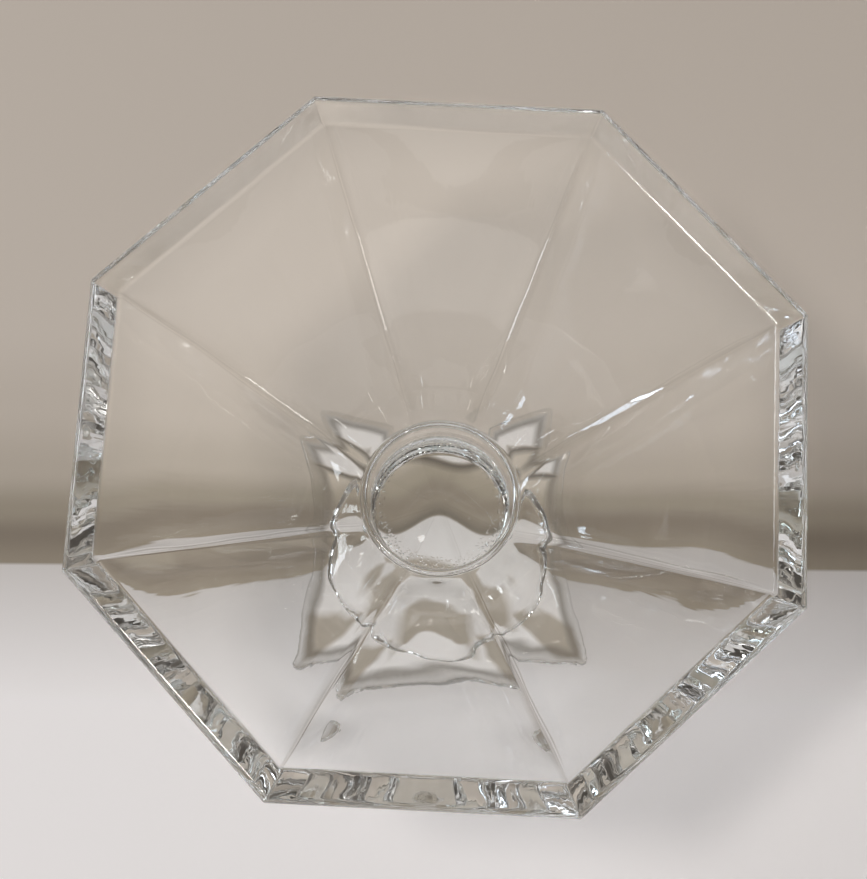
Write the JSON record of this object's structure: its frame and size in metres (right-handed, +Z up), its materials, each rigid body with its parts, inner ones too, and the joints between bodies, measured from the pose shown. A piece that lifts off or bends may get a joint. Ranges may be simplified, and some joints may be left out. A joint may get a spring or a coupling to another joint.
{
  "type": "footed glass bowl",
  "caption": "Clear octagonal bowl with flared flat-sided walls and a round well, bonded to a square pedestal foot hollowed from below.",
  "frame": {"origin": "centre of the foot's underside, on the surface that the bowl stands on", "axes": "+Z up the bowl's axis and out of its mouth; two of the bowl's eight flat sides face +X and -X, and two face +Y and -Y"},
  "size_m": [0.234, 0.234, 0.16],
  "materials": {
    "bowl_glass": "clear, fire-polished",
    "bond_clear": "clear, with fine bubbles near its edge",
    "foot_glass": "clear, fire-polished"
  },
  "bodies": {
    "root": {"bowl": "bowl_glass", "bond_disc": "bond_clear", "foot": "foot_glass"}
  },
  "joints": []
}
